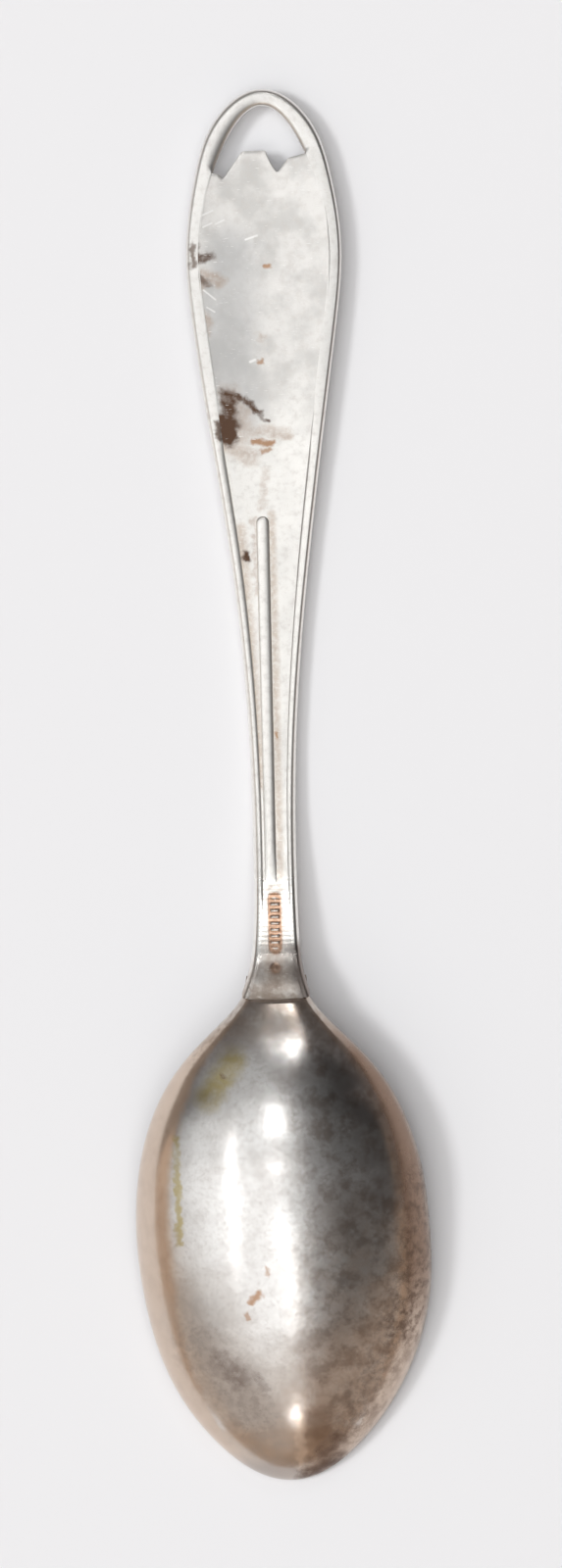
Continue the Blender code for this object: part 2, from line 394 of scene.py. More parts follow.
# The wire: its whole width, how much of that is its rounded outer flank, and how far it
# stands proud of the plate on the front and on the back.
wire_width = spline(
    [
        (-25, 1.15),
        (-8, 1.2),
        (10, 1.25),
        (30, 1.45),
        (48, 1.5),
        (60, 1.55),
        (64.2, 1.75),
        (66.4, 2.0),
        (69.5, 2.1),
        (73, 1.75),
    ]
)
wire_flank = spline(
    [
        (-25, 0.6),
        (-8, 0.6),
        (10, 0.5),
        (30, 0.45),
        (48, 0.45),
        (64, 0.5),
        (73, 0.7),
    ]
)
wire_front = spline([(-25, 0.0), (-21, 0.0), (-12, 0.35), (0, 0.35), (40, 0.35), (73, 0.35)])
wire_back = spline(
    [
        (-25, 0.0),
        (-17, 0.0),
        (-9, 0.006),
        (0, 0.012),
        (28, 0.012),
        (42, 0.0),
        (54, -0.01),
        (73, -0.01),
    ]
)
# How square the wire's section is on its outer flank, and on its inner side where it lies flush
# with the plate, beside the stem and in the free arch.
FLANK_CORNERS = 2.2
FLUSH_CORNERS = 20.0
STEM_CORNERS = 2.8
ARCH_CORNERS = 3.4
# Over these stretches the inner side turns rounder, flush again, and rounder in the arch.
STEM_FROM = (-17, -11)
STEM_TO = (34, 46)
ARCH_FROM = (0.1, 1.0)


def edge_point(share):
    """A point of the handle's edge, from below the heel (0) up the right side to the arch (1)."""
    y = HANDLE_START_Y + (ARCH_Y - HANDLE_START_Y) * math.sin(math.pi / 2 * share)
    half = math.sqrt(max(edge_half(min(y, HALF_LENGTH)), 0.0)) if share < 1 else 0.0
    return Vector((half, y, 0))


def inward(share):
    """The direction from a point of the edge towards the inside of the handle."""
    step = 1e-4
    way = edge_point(min(share + step, 1.0)) - edge_point(max(share - step, 0.0))
    if share >= 1:
        way = Vector((-1, 0, 0))
    return Vector((-way.y, way.x, 0)).normalized()


def inner_corners(y, side):
    """How square the wire's inner side is: rounded beside the stem and in the arch, else flush."""
    stem = ease(*STEM_FROM, y) * (1 - ease(*STEM_TO, y))
    arch = ease(*ARCH_FROM, y - SHOULDERS[side])
    rounder = (FLUSH_CORNERS - STEM_CORNERS) * stem + (FLUSH_CORNERS - ARCH_CORNERS) * arch
    return FLUSH_CORNERS - rounder


def make_border_wire():
    """One wire along the whole edge, up the right side, round the arch and down the left."""

    def place(turn, share):
        side = 1 if share <= 0.5 else -1
        along = 1 - abs(2 * share - 1)
        edge = edge_point(along)
        low = front(edge.y) - wire_front(edge.y)
        high = plate_back(edge.y) + wire_back(edge.y)
        angle = 2 * math.pi * turn
        outer = math.cos(angle) > 0
        x, z = rounded(angle, FLANK_CORNERS if outer else inner_corners(edge.y, side))
        flank = wire_flank(edge.y)
        spot = edge + inward(along) * (flank - x * (flank if outer else wire_width(edge.y) - flank))
        height = (low + high) / 2 + z * (high - low) / 2
        return Vector((centre(spot.y) + side * spot.x, spot.y, height))

    bm = skin(56, 460, place)
    point, normal = scarf(SOLDER_GAP)
    cut_away(bm, point, -normal)
    return as_piece("edge_wire", bm)


# The jagged top edge of the plate, between the places where it meets the wire.
SKYLINE = [
    (-4.7, 64.1),
    (-4.1, 63.65),
    (-2.28, 66.25),
    (-2.03, 66.45),
    (0.32, 66.5),
    (0.82, 65.3),
    (1.54, 64.15),
    (2.67, 65.65),
    (3.7, 65.9),
]
# How far the plate reaches in under the wire's rounded inner side.
TUCK = 0.3
# Past this height the plate's rows bend into its top edge, and this share of them lies below.
TURN_UP_Y = 52.0
LOWER_ROWS = 0.85
RIM_BEVEL = 0.03
# How deep the head's back is hollowed, and where that begins and is whole.
HEAD_HOLLOW = 0.13
HOLLOW_FROM = (20, 46)
# Past this the wire's inner line bends over to the middle of the arch.
ARCH_BENDS_Y = 69


def plate_edge(side):
    """A function for how far out the plate reaches on one side, at each y."""
    places, widths = [], []
    for k in range(161):
        share = k / 160
        edge = edge_point(share)
        inner = edge + inward(share) * (wire_width(edge.y) - TUCK)
        if inner.y < ARCH_BENDS_Y:
            places.append(inner.y)
            widths.append(side * inner.x)
    return lambda y: float(np.interp(y, places, widths))


def hollow_back(x, y):
    """The back of the plate is very slightly hollow across, most of all at the head."""
    half = math.sqrt(max(edge_half(y), 0.0)) - 1.0
    depth = HEAD_HOLLOW * ease(*HOLLOW_FROM, y)
    return -depth * (1 - min(1.0, abs(x / half)) ** 2)


def slab(columns, rows):
    """A closed slab, one wide, long and thick, whose front and back are fine grids."""
    bm = bmesh.new()
    bmesh.ops.create_grid(bm, x_segments=columns, y_segments=rows, size=0.5)
    raised = bmesh.ops.extrude_face_region(bm, geom=bm.faces[:])["geom"]
    top = [part for part in raised if isinstance(part, bmesh.types.BMVert)]
    bmesh.ops.translate(bm, vec=(0, 0, 1), verts=top)
    return bm


# In the back of the stem: a sunk panel with bars across it, and a round punch below that.
PANEL_X, PANEL_Y = -0.38, -14.4
PANEL_WIDE, PANEL_LONG, PANEL_DEEP = 1.25, 6.0, 0.16
BAR_STEP, BAR_HEIGHT = 0.66, 0.13
PUNCH_X, PUNCH_Y = -0.45, -19.0
PUNCH_SIZE, PUNCH_DEEP, PUNCH_BOSS = 1.24, 0.17, 0.10
# How far the cutters stand out of the back, and how far the punch's corners stay off it.
CUTTER_RISE = 0.6
PUNCH_CLEAR = 0.004


def sunk(bm, x_mid, y_mid, wide, long, floor):
    """Lays a slab over a rectangle of the back as a cutter, its underside on floor(x, y)."""
    for vert in bm.verts:
        x, y = x_mid + vert.co.x * wide, y_mid + vert.co.y * long
        lift = CUTTER_RISE if vert.co.z > 0.5 else floor(x, y)
        vert.co = (x + centre(y) - centre(y_mid), y, plate_back(y) + lift)
    bmesh.ops.recalc_face_normals(bm, faces=bm.faces)
    return bm


def panel_floor(x, y):
    """A sunk floor with rounded bars across it."""
    bar = max(0.0, math.cos(2 * math.pi * (y - PANEL_Y) / BAR_STEP)) ** 0.7
    inside = 1 - ease(0.30, 0.52, abs(x - PANEL_X))
    ends = 1 - ease(2.45, 2.6, abs(y - PANEL_Y))
    return -PANEL_DEEP + BAR_HEIGHT * bar * inside * ends


def punch_floor(x, y):
    """A round dimple with a small raised middle."""
    away = math.hypot(x - PUNCH_X, y - PUNCH_Y)
    dimple = PUNCH_DEEP * (1 - ease(0.32, 0.62, away))
    boss = PUNCH_BOSS * (1 - ease(0.0, 0.3, away))
    return boss - dimple + PUNCH_CLEAR


def make_plate():
    """The plate between the wires, cut to the skyline, with its sunk panel and its punch."""
    left, right = plate_edge(-1), plate_edge(1)
    ends = [(reach(SHOULDERS[side]), SHOULDERS[side]) for side, reach in ((-1, left), (1, right))]
    sky_x, sky_y = zip(ends[0], *SKYLINE, ends[1])
    shares = np.linspace(0, 1, len(sky_x))

    def between(y, share):
        return left(y) + share * (right(y) - left(y))

    bm = slab(80, 190)
    for vert in bm.verts:
        across, along = vert.co.x + 0.5, vert.co.y + 0.5
        top_x = float(np.interp(across, shares, sky_x))
        top_y = float(np.interp(across, shares, sky_y))
        share = (top_x - sky_x[0]) / (sky_x[-1] - sky_x[0])
        if along < LOWER_ROWS:
            y = HANDLE_START_Y + along / LOWER_ROWS * (TURN_UP_Y - HANDLE_START_Y)
            x = between(y, share)
        else:
            rise = (along - LOWER_ROWS) / (1 - LOWER_ROWS)
            y = TURN_UP_Y + rise * (top_y - TURN_UP_Y)
            x = between(y, share) + rise * (top_x - between(top_y, share))
        vert.co = (x, y, vert.co.z)
    rims = [e for e in bm.edges if e.calc_face_angle(0) > 1 and min(v.co.z for v in e.verts) > 0.5]
    bmesh.ops.bevel(
        bm, geom=rims, offset=RIM_BEVEL, segments=2, profile=0.5, affect="EDGES", material=-1
    )
    for vert in bm.verts:
        x, y, share = vert.co
        back = plate_back(y) + hollow_back(x, y)
        vert.co = (x + centre(y), y, front(y) + share * (back - front(y)))
    point, normal = scarf(SOLDER_GAP)
    cut_away(bm, point, -normal)
    plate = as_piece("handle_plate", bm, 30)
    carve(plate, sunk(slab(24, 110), PANEL_X, PANEL_Y, PANEL_WIDE, PANEL_LONG, panel_floor))
    return carve(plate, sunk(slab(30, 30), PUNCH_X, PUNCH_Y, PUNCH_SIZE, PUNCH_SIZE, punch_floor))


# The rib: half its width low down and how much is gained by its upper end, its height over its
# middle line, how deep it sits, how far that line is lifted, and over what length it thins out.
RIB_HALF, RIB_GAIN = 0.6, 0.08
RIB_HEIGHT, RIB_ROOT, RIB_LIFT = 0.21, 0.1, 0.03
RIB_CORNERS = 2.5
RIB_FADE = 6.0


def make_rib():
    """The half-round bar on the back: round at its upper end, thinning out at its lower one."""
    start, end = RIB_LOW.y, RIB_HIGH.y
    middle = (RIB_LOW.x + RIB_HIGH.x) / 2

    def place(turn, share):
        along = 0.5 - 0.5 * math.cos(math.pi * share)
        y = start + along * (end - start)
        half = RIB_HALF + RIB_GAIN * along
        round_end = math.sqrt(max(0.0, 1 - max(0.0, 1 - (end - y) / half) ** 2))
        fade = math.sqrt(ease(0.0, RIB_FADE, y - start))
        x, z = rounded(2 * math.pi * turn, RIB_CORNERS)
        height = (RIB_HEIGHT * fade if z > 0 else RIB_ROOT) * round_end * z
        return Vector((middle + half * round_end * x, y, plate_back(y) + RIB_LIFT + height))

    return as_piece("rib_bar", skin(28, 120, place))


# ---------------------------------------------------------------- finishes


class Paint:
    """A silver finish built up in nodes. Places and sizes are in millimetres on the spoon."""

    # How far a ragged outline strays to each side and along the spoon, and its noise.
    STRAY = (1.5, 1.0, 0)
    STRAY_SCALE, STRAY_DETAIL = 1.1, 4.0

    def __init__(self, name):
        self.made = bpy.data.materials.new(name)
        self.made.use_nodes = True
        self.tree = self.made.node_tree
        self.shader = self.tree.nodes["Principled BSDF"]
        coords = self.tree.nodes.new("ShaderNodeTexCoord").outputs["Object"]
        self.place = self.vector("MULTIPLY", coords, (1000, 1000, 1000))
        self.flat = self.vector("MULTIPLY", self.place, (1, 1, 0))
        wander = self.node(
            "ShaderNodeTexNoise",
            Vector=self.flat,
            Scale=self.STRAY_SCALE,
            Detail=self.STRAY_DETAIL,
        )
        shift = self.vector("SUBTRACT", wander.outputs["Color"], (0.5, 0.5, 0.5))
        self.ragged = self.vector("ADD", self.flat, self.vector("MULTIPLY", shift, self.STRAY))

    def node(self, kind, **inputs):
        made = self.tree.nodes.new(kind)
        for name, value in inputs.items():
            self.feed(made.inputs[name.replace("_", " ")], value)
        return made

    def feed(self, socket, value):
        if isinstance(value, bpy.types.NodeSocket):
            self.tree.links.new(value, socket)
        else:
            socket.default_value = value

    def math(self, operation, *values, clamp=False):
        made = self.tree.nodes.new("ShaderNodeMath")
        made.operation = operation
        made.use_clamp = clamp
        for socket, value in zip(made.inputs, values):
            self.feed(socket, value)
        return made.outputs[0]

    def times(self, value, factor):
        return self.math("MULTIPLY", value, factor)

    def plus(self, base, part, factor):
        """The base, with that many times the part added."""
        return self.math("ADD", base, self.times(part, factor))

    def vector(self, operation, *values):
        made = self.tree.nodes.new("ShaderNodeVectorMath")
        made.operation = operation
        for socket, value in zip(made.inputs, values):
            self.feed(socket, value)
        return made.outputs["Value" if operation in ("LENGTH", "DOT_PRODUCT") else "Vector"]

    def scaled(self, vector, factor):
        made = self.tree.nodes.new("ShaderNodeVectorMath")
        made.operation = "SCALE"
        self.feed(made.inputs[0], vector)
        self.feed(made.inputs["Scale"], factor)
        return made.outputs["Vector"]

    def smooth(self, value, low, high, to_low=0.0, to_high=1.0):
        made = self.tree.nodes.new("ShaderNodeMapRange")
        made.interpolation_type = "SMOOTHSTEP"
        for socket, item in zip(made.inputs, (value, low, high, to_low, to_high)):
            self.feed(socket, item)
        return made.outputs[0]

    def noise(self, scale, detail=3.0, stretch=(1, 1, 1), rough=0.55, wind=0.0):
        place = self.vector("MULTIPLY", self.place, stretch)
        made = self.node(
            "ShaderNodeTexNoise",
            Vector=place,
            Scale=scale,
            Detail=detail,
            Roughness=rough,
            Distortion=wind,
        )
        return made.outputs["Fac"]

    def mix(self, share, under, over):
        made = self.tree.nodes.new("ShaderNodeMix")
        made.data_type = "RGBA"
        for index, value in ((0, share), (6, under), (7, over)):
            if isinstance(value, tuple):
                value = (*value, 1)
            self.feed(made.inputs[index], value)
        return made.outputs[2]

    def stroke(self, points, radius, soft=0.75, ragged=True):
        """1 along a run of points, fading out past the radius."""
        place = self.ragged if ragged else self.flat
        found = None
        for (x0, y0), (x1, y1) in zip(points, points[1:]):
            way = (x1 - x0, y1 - y0, 0)
            from_start = self.vector("SUBTRACT", place, (x0, y0, 0))
            along = self.vector("DOT_PRODUCT", from_start, way)
            along = self.math("DIVIDE", along, way[0] ** 2 + way[1] ** 2, clamp=True)
            nearest = self.scaled(way, along)
            away = self.vector("LENGTH", self.vector("SUBTRACT", from_start, nearest))
            here = self.smooth(away, radius * (1 - soft), radius * (1 + soft), 1.0, 0.0)
            found = here if found is None else self.math("MAXIMUM", found, here)
        return found

    def strokes(self, runs, ragged=True):
        """The strongest of several strokes, each (points, radius, strength)."""
        found = None
        for points, radius, strength in runs:
            here = self.times(self.stroke(points, radius, ragged=ragged), strength)
            found = here if found is None else self.math("MAXIMUM", found, here)
        return found

    def finish(self, colour, roughness, metallic, height):
        """Feeds the shader; the height of the fine relief is in millimetres."""
        self.feed(self.shader.inputs["Base Color"], colour)
        self.feed(self.shader.inputs["Roughness"], roughness)
        self.feed(self.shader.inputs["Metallic"], metallic)
        bump = self.node("ShaderNodeBump", Height=height, Distance=MM)
        self.feed(self.shader.inputs["Normal"], bump.outputs["Normal"])
        return self.made


# The tones of the finishes: silver from clean to tarnished, then what lies on it, with painted
# shade, reflections and a highlight among them.
STEM_SILVER = (0.98, 0.96, 0.92)
HEAD_SILVER = (0.83, 0.81, 0.78)
DULL_SILVER = (0.66, 0.645, 0.62)
GRAINY_SILVER = (0.68, 0.64, 0.60)
PITTED_SILVER = (0.55, 0.50, 0.46)
GREY_SILVER = (0.52, 0.52, 0.52)
SCRATCHED_SILVER = (0.99, 0.98, 0.96)
STEM_WIRE = (0.97, 0.95, 0.91)
HEAD_WIRE = (0.87, 0.855, 0.825)
GRAINY_WIRE = (0.70, 0.67, 0.63)
PITTED_WIRE = (0.58, 0.50, 0.43)
BOWL_SILVER = (0.90, 0.885, 0.865)
CLOUDY_BOWL = (0.75, 0.725, 0.70)
GRAINY_BOWL = (0.54, 0.49, 0.45)
PINK_BAND = (0.67, 0.53, 0.42)
PINK_VEIL = (0.56, 0.435, 0.35)
# Painted dark reflection.
PAINTED_REFLECTION_GREY = (0.39, 0.35, 0.335)
# Dark tarnish clouds, also painted darker reflection on the right.
DARK_CLOUD_AND_REFLECTION = (0.30, 0.225, 0.18)
# Painted greyer reflection.
PAINTED_REFLECTION_COOL_GREY = (0.47, 0.46, 0.45)
# Brown tarnish darkened into the painted reflection of the shaded table.
RIM_TARNISH_AND_SHADE = (0.27, 0.175, 0.125)
TIP_GREY = (0.42, 0.38, 0.36)
TONGUE_BROWN = (0.38, 0.30, 0.24)
MOTTLE_BROWN = (0.16, 0.105, 0.075)
LINE_DARK = (0.30, 0.20, 0.14)
# Painted highlight.
PAINTED_HIGHLIGHT_TAN = (0.88, 0.74, 0.62)
SPECK_BROWN = (0.38, 0.28, 0.21)
SOLDER_DARK = (0.20, 0.155, 0.125)
SOLDER_LIGHT = (0.40, 0.33, 0.28)
OLIVE = (0.56, 0.45, 0.17)
BROWN = (0.115, 0.062, 0.038)
RUST = (0.43, 0.21, 0.085)
WASH = (0.46, 0.31, 0.21)
# Tarnish with painted shade, for the grooves.
GROOVE_TAN_AND_SHADE = (0.52, 0.37, 0.25)
PANEL_RUST = (0.50, 0.27, 0.15)
PUNCH_RUST = (0.36, 0.20, 0.12)
GRIME = (0.31, 0.225, 0.165)
# Painted shade for the corner on the right of the heel.
PAINTED_CORNER_SHADE = (0.30, 0.26, 0.24)

# Between these two places the stem's clean silver turns into the head's.
STEM_ENDS_Y, HEAD_STARTS_Y = 34.0, 47.0
# The corner on the right of the heel, where grey shade is painted in.
HEEL_SHADE = [(2.0, -17.2), (2.3, -20.0), (3.2, -23.0)]
# The fine ripples at the foot of the stem: radians of the wave in each millimetre, and height.
RIPPLE_TURN, RIPPLE_HEIGHT = 13.0, 0.003

# Marks on the spoon and painted light, each a run of points with its radius and, but for lines, its
# strength.
HEAD_GREYS = [
    ([(-3.2, 56.0), (-3.6, 44.0), (-3.0, 40.0)], 2.6, 0.55),
    ([(-5.6, 51.0), (-4.6, 42.5)], 1.2, 0.5),
]
HANDLE_WASHES = [
    ([(-4.6, 35.7), (-1.7, 34.4)], 0.8, 0.45),
    ([(-4.0, 41.0), (-2.5, 39.0), (-2.8, 36.6)], 1.0, 0.4),
    ([(-1.8, 37.2), (2.0, 37.0)], 0.5, 0.4),
    ([(0.4, 36.7), (2.4, 36.5)], 0.35, 0.5),
    ([(-6.8, 52.4), (-6.1, 53.6), (-4.5, 52.9)], 0.6, 0.5),
    ([(-6.4, 48.9), (-6.4, 48.0)], 0.7, 0.6),
    ([(-0.5, 47.1), (-0.4, 47.0)], 0.4, 0.35),
    ([(-0.7, 29.2), (-0.3, 33.0)], 0.4, 0.3),
    ([(-1.6, 28.0), (-1.5, 20.0)], 0.25, 0.35),
    ([(-0.4, -11.0), (-0.5, -20.5)], 1.1, 0.45),
]
# Tan inside the left wire and at the rib's right foot, each (points, radius): partly tarnish,
# partly painted shade.
GROOVE_TARNISH_AND_SHADE = [
    ([(-3.0, 27.0), (-2.1, 13.0), (-1.5, 0.0)], 0.5),
    ([(0.25, 28.4), (0.3, 16.6), (0.25, -9.5)], 0.38),
]
HANDLE_RUSTS = [
    ([(-1.4, 36.0), (0.4, 35.8)], 0.32, 0.85),
    ([(-0.6, 35.0), (0.3, 35.2)], 0.25, 0.7),
    ([(0.2, 54.4), (0.6, 54.5)], 0.22, 0.8),
    ([(-0.5, 44.5), (-0.7, 44.4)], 0.22, 0.7),
    ([(0.2, 5.3), (0.2, 5.1)], 0.22, 0.8),
]
HANDLE_STAINS = [
    ([(-4.1, 40.7), (-3.8, 38.0)], 0.85, 0.75),
    ([(-4.4, 38.2), (-4.1, 36.6)], 0.85, 1.0),
    ([(-3.8, 41.0), (-2.4, 40.6), (-0.9, 39.1)], 0.36, 0.7),
    ([(-0.9, 39.1), (0.1, 38.2)], 0.24, 0.6),
    ([(-7.1, 56.6), (-7.0, 55.1), (-5.6, 55.6)], 0.45, 0.6),
    ([(-6.9, 53.4), (-5.9, 52.6)], 0.4, 0.45),
    ([(-2.5, 24.2), (-2.4, 23.7)], 0.4, 0.75),
]
NICKS = [
    ([(-6.6, 59.7), (-5.2, 60.3)], 0.09, 0.8),
    ([(-6.2, 58.6), (-5.3, 59.0)], 0.08, 0.7),
    ([(-4.9, 58.9), (-4.0, 59.3)], 0.08, 0.6),
    ([(-1.8, 57.2), (-0.6, 57.6)], 0.1, 0.8),
    ([(-6.3, 52.0), (-5.1, 51.0)], 0.09, 0.7),
    ([(-6.0, 50.2), (-5.2, 49.7)], 0.08, 0.6),
    ([(-1.6, 44.4), (-1.1, 44.6)], 0.13, 0.8),
]
WIRE_SPOTS = [
    ([(-7.4, 56.6), (-7.3, 54.6)], 0.35, 0.6),
    ([(-5.2, 37.9), (-4.9, 36.4)], 0.4, 0.7),
]
BOWL_VEILS = [
    ([(8.5, -46.0), (7.0, -57.0), (4.5, -66.5)], 5.0, 0.65),
    ([(13.0, -34.0), (14.0, -46.0), (11.0, -58.0)], 3.0, 0.5),
    ([(-8.0, -60.0), (-4.0, -67.0)], 3.0, 0.3),
]
# Painted dark reflections on the bowl's upper right and near its heel.
BOWL_PAINTED_DARK_REFLECTIONS = [
    ([(5.5, -28.5), (9.5, -34.5), (11.0, -42.0)], 3.6, 0.85),
    ([(4.5, -32.0), (6.0, -44.0)], 3.0, 0.45),
    ([(3.0, -29.5), (1.0, -29.8)], 1.8, 0.6),
]
# Painted greyer reflection on the lower left of the bowl.
BOWL_PAINTED_GREY_REFLECTIONS = [([(-9.5, -55.0), (-6.0, -62.0), (-2.5, -69.0)], 2.6, 0.55)]
BOWL_MOTTLES = [
    ([(14.3, -41.5), (13.6, -51.4), (11.6, -57.0)], 2.2, 0.9),
    ([(9.8, -59.5), (6.0, -67.2)], 2.2, 0.55),
    ([(-8.5, -27.5), (-5.0, -24.0)], 1.5, 0.4),
    ([(-9.0, -58.0), (-4.0, -65.0)], 2.4, 0.35),
]
DARK_LINE = [(3.0, -66.0), (3.2, -71.0)]
# A painted highlight: a light line down the tip.
TIP_PAINTED_HIGHLIGHT = [(1.0, -65.8), (1.15, -71.3)]
BOWL_OLIVES = [
    ([(-7.7, -32.3), (-5.0, -28.3)], 1.2, 0.85),
    ([(-11.1, -36.5), (-11.0, -47.3)], 0.32, 0.8),
]
BOWL_RUSTS = [
    ([(-3.7, -53.5), (-2.9, -52.5)], 0.32, 0.8),
    ([(-4.3, -54.7), (-4.1, -55.3)], 0.22, 0.6),
    ([(-2.0, -49.8), (-1.9, -50.6)], 0.2, 0.5),
]
BOWL_STAINS = [
    ([(-6.8, -59.7), (-5.0, -61.5)], 1.1, 0.55),
    ([(-3.4, -61.3), (-2.4, -62.6)], 0.5, 0.5),
    ([(1.8, -72.4), (4.9, -70.8)], 1.1, 1.0),
    ([(3.4, -69.7), (5.0, -68.2)], 0.8, 0.8),
    ([(-6.1, -29.9), (-5.9, -30.0)], 0.3, 0.8),
]


def heel_grime_and_shade(paint, tone, y, top, least, most):
    """Brown grime from the heel up to top, and painted shade in the corner on the heel's right."""
    heel = paint.smooth(y, -23.0, top, 1.0, 0.0)
    patchy = paint.smooth(paint.noise(1.1, 5.0), 0.3, 0.65, least, most)
    tone = paint.mix(paint.times(heel, patchy), tone, GRIME)
    # Grey painted shade in the corner on the heel's right.
    return paint.mix(paint.stroke(HEEL_SHADE, 0.9, 0.9), tone, PAINTED_CORNER_SHADE)


def rippled_foot(paint, y, roughness):
    """(roughness, height) with the brighter polish and fine ripples at the foot of the stem."""
    ripple = paint.math("SINE", paint.times(y, RIPPLE_TURN))
    ripple = paint.times(ripple, paint.noise(1.7, 2.0, stretch=(1, 2.4, 1)))
    foot = paint.times(paint.smooth(y, -19.5, -16.0), paint.smooth(y, -8.5, -11.0))
    roughness = paint.math("SUBTRACT", roughness, paint.times(foot, 0.13))
    return roughness, paint.times(paint.times(ripple, foot), RIPPLE_HEIGHT)


def handle_paint(name):
    """Worn silver: cloudy grey on the left of the head, cleaner on the right, with old stains."""
    paint = Paint(name)
    clouds = paint.noise(0.28, 4.0)
    grain = paint.noise(1.6, 5.0)
    fine = paint.noise(9.0, 4.0)
    y = paint.node("ShaderNodeSeparateXYZ", Vector=paint.place).outputs["Y"]
    worn = paint.smooth(y, STEM_ENDS_Y, HEAD_STARTS_Y, 0.2, 1.0)
    dull = paint.times(paint.smooth(clouds, 0.38, 0.66), worn)
    tone = paint.mix(paint.smooth(y, STEM_ENDS_Y, HEAD_STARTS_Y), STEM_SILVER, HEAD_SILVER)
    tone = paint.mix(dull, tone, DULL_SILVER)
    tone = paint.mix(paint.smooth(grain, 0.45, 0.75, 0, 0.4), tone, GRAINY_SILVER)
    tone = paint.mix(paint.smooth(fine, 0.55, 0.75, 0, 0.22), tone, PITTED_SILVER)
    tone = paint.mix(paint.strokes(HEAD_GREYS), tone, GREY_SILVER)
    wash = paint.strokes(HANDLE_WASHES)
    broken = paint.smooth(paint.noise(2.4, 4.0), 0.3, 0.62, 0.45, 1.0)
    tone = paint.mix(paint.times(wash, broken), tone, WASH)
    # Tan in the grooves: tarnish, with painted shade beside the left wire and the rib.
    for points, radius in GROOVE_TARNISH_AND_SHADE:
        groove = paint.times(paint.stroke(points, radius, 0.9, False), 0.5)
        tone = paint.mix(paint.times(groove, broken), tone, GROOVE_TAN_AND_SHADE)
    tone = paint.mix(paint.strokes(HANDLE_RUSTS), tone, RUST)
    uneven = paint.smooth(paint.noise(1.0, 3.0), 0.3, 0.55, 0.6, 1.0)
    stain = paint.smooth(paint.times(paint.strokes(HANDLE_STAINS), uneven), -0.05, 0.75)
    tone = paint.mix(stain, tone, BROWN)
    panel = paint.stroke([(PANEL_X, PANEL_Y + 2.5), (PANEL_X, PANEL_Y - 2.5)], 0.72, 0.2, False)
    phase = paint.times(paint.math("SUBTRACT", y, PANEL_Y), 2 * math.pi / BAR_STEP)
    valley = paint.smooth(paint.math("COSINE", phase), 0.15, 0.75, 1.0, 0.0)
    inside = paint.stroke([(PANEL_X, PANEL_Y + 2.3), (PANEL_X, PANEL_Y - 2.3)], 0.42, 0.2, False)
    bright = paint.times(inside, paint.math("SUBTRACT", 1.0, valley))
    rusty = paint.math("SUBTRACT", panel, bright, clamp=True)
    tone = paint.mix(paint.times(rusty, 0.8), tone, PANEL_RUST)
    ring = paint.stroke([(PUNCH_X, PUNCH_Y), (PUNCH_X, PUNCH_Y - 0.05)], 0.62, 0.5, False)
    tone = paint.mix(paint.times(ring, 0.75), tone, PUNCH_RUST)
    tone = heel_grime_and_shade(paint, tone, y, -15.5, 0.3, 0.85)
    scratches = paint.smooth(paint.noise(1.0, 3.0, stretch=(1.1, 7.0, 1)), 0.66, 0.71)
    nicks = paint.strokes(NICKS, ragged=False)
    scratches = paint.math("MAXIMUM", nicks, paint.times(scratches, 0.6))
    tone = paint.mix(scratches, tone, SCRATCHED_SILVER)
    dirt = paint.math("MAXIMUM", stain, paint.times(wash, 0.5))
    metallic = paint.math("SUBTRACT", 1.0, paint.times(dirt, 0.45))
    roughness = paint.plus(paint.plus(0.24, grain, 0.16), dirt, 0.2)
    roughness, height = rippled_foot(paint, y, roughness)
    height = paint.plus(height, paint.noise(0.28, 1.0), 0.04)
    height = paint.plus(height, grain, 0.003)
    height = paint.plus(height, scratches, 0.002)
    return paint.finish(tone, roughness, metallic, height)


def wire_paint(name):
    """Cleaner silver on the border and the rib, with two spots, brown low down at the heel and
    painted shade in the corner beside it.
    """
    paint = Paint(name)
    grain = paint.noise(1.4, 5.0)
    fine = paint.noise(6.0, 4.0)
    y = paint.node("ShaderNodeSeparateXYZ", Vector=paint.place).outputs["Y"]
    tone = paint.mix(paint.smooth(y, STEM_ENDS_Y, HEAD_STARTS_Y), STEM_WIRE, HEAD_WIRE)
    tone = paint.mix(paint.smooth(grain, 0.45, 0.75, 0, 0.45), tone, GRAINY_WIRE)
    tone = paint.mix(paint.smooth(fine, 0.55, 0.75, 0, 0.25), tone, PITTED_WIRE)
    tone = heel_grime_and_shade(paint, tone, y, -16.5, 0.25, 0.8)
    tone = paint.mix(paint.smooth(paint.strokes(WIRE_SPOTS), -0.05, 0.9), tone, BROWN)
    roughness, height = rippled_foot(paint, y, paint.plus(0.27, grain, 0.14))
    return paint.finish(tone, roughness, 1.0, paint.plus(height, grain, 0.0015))


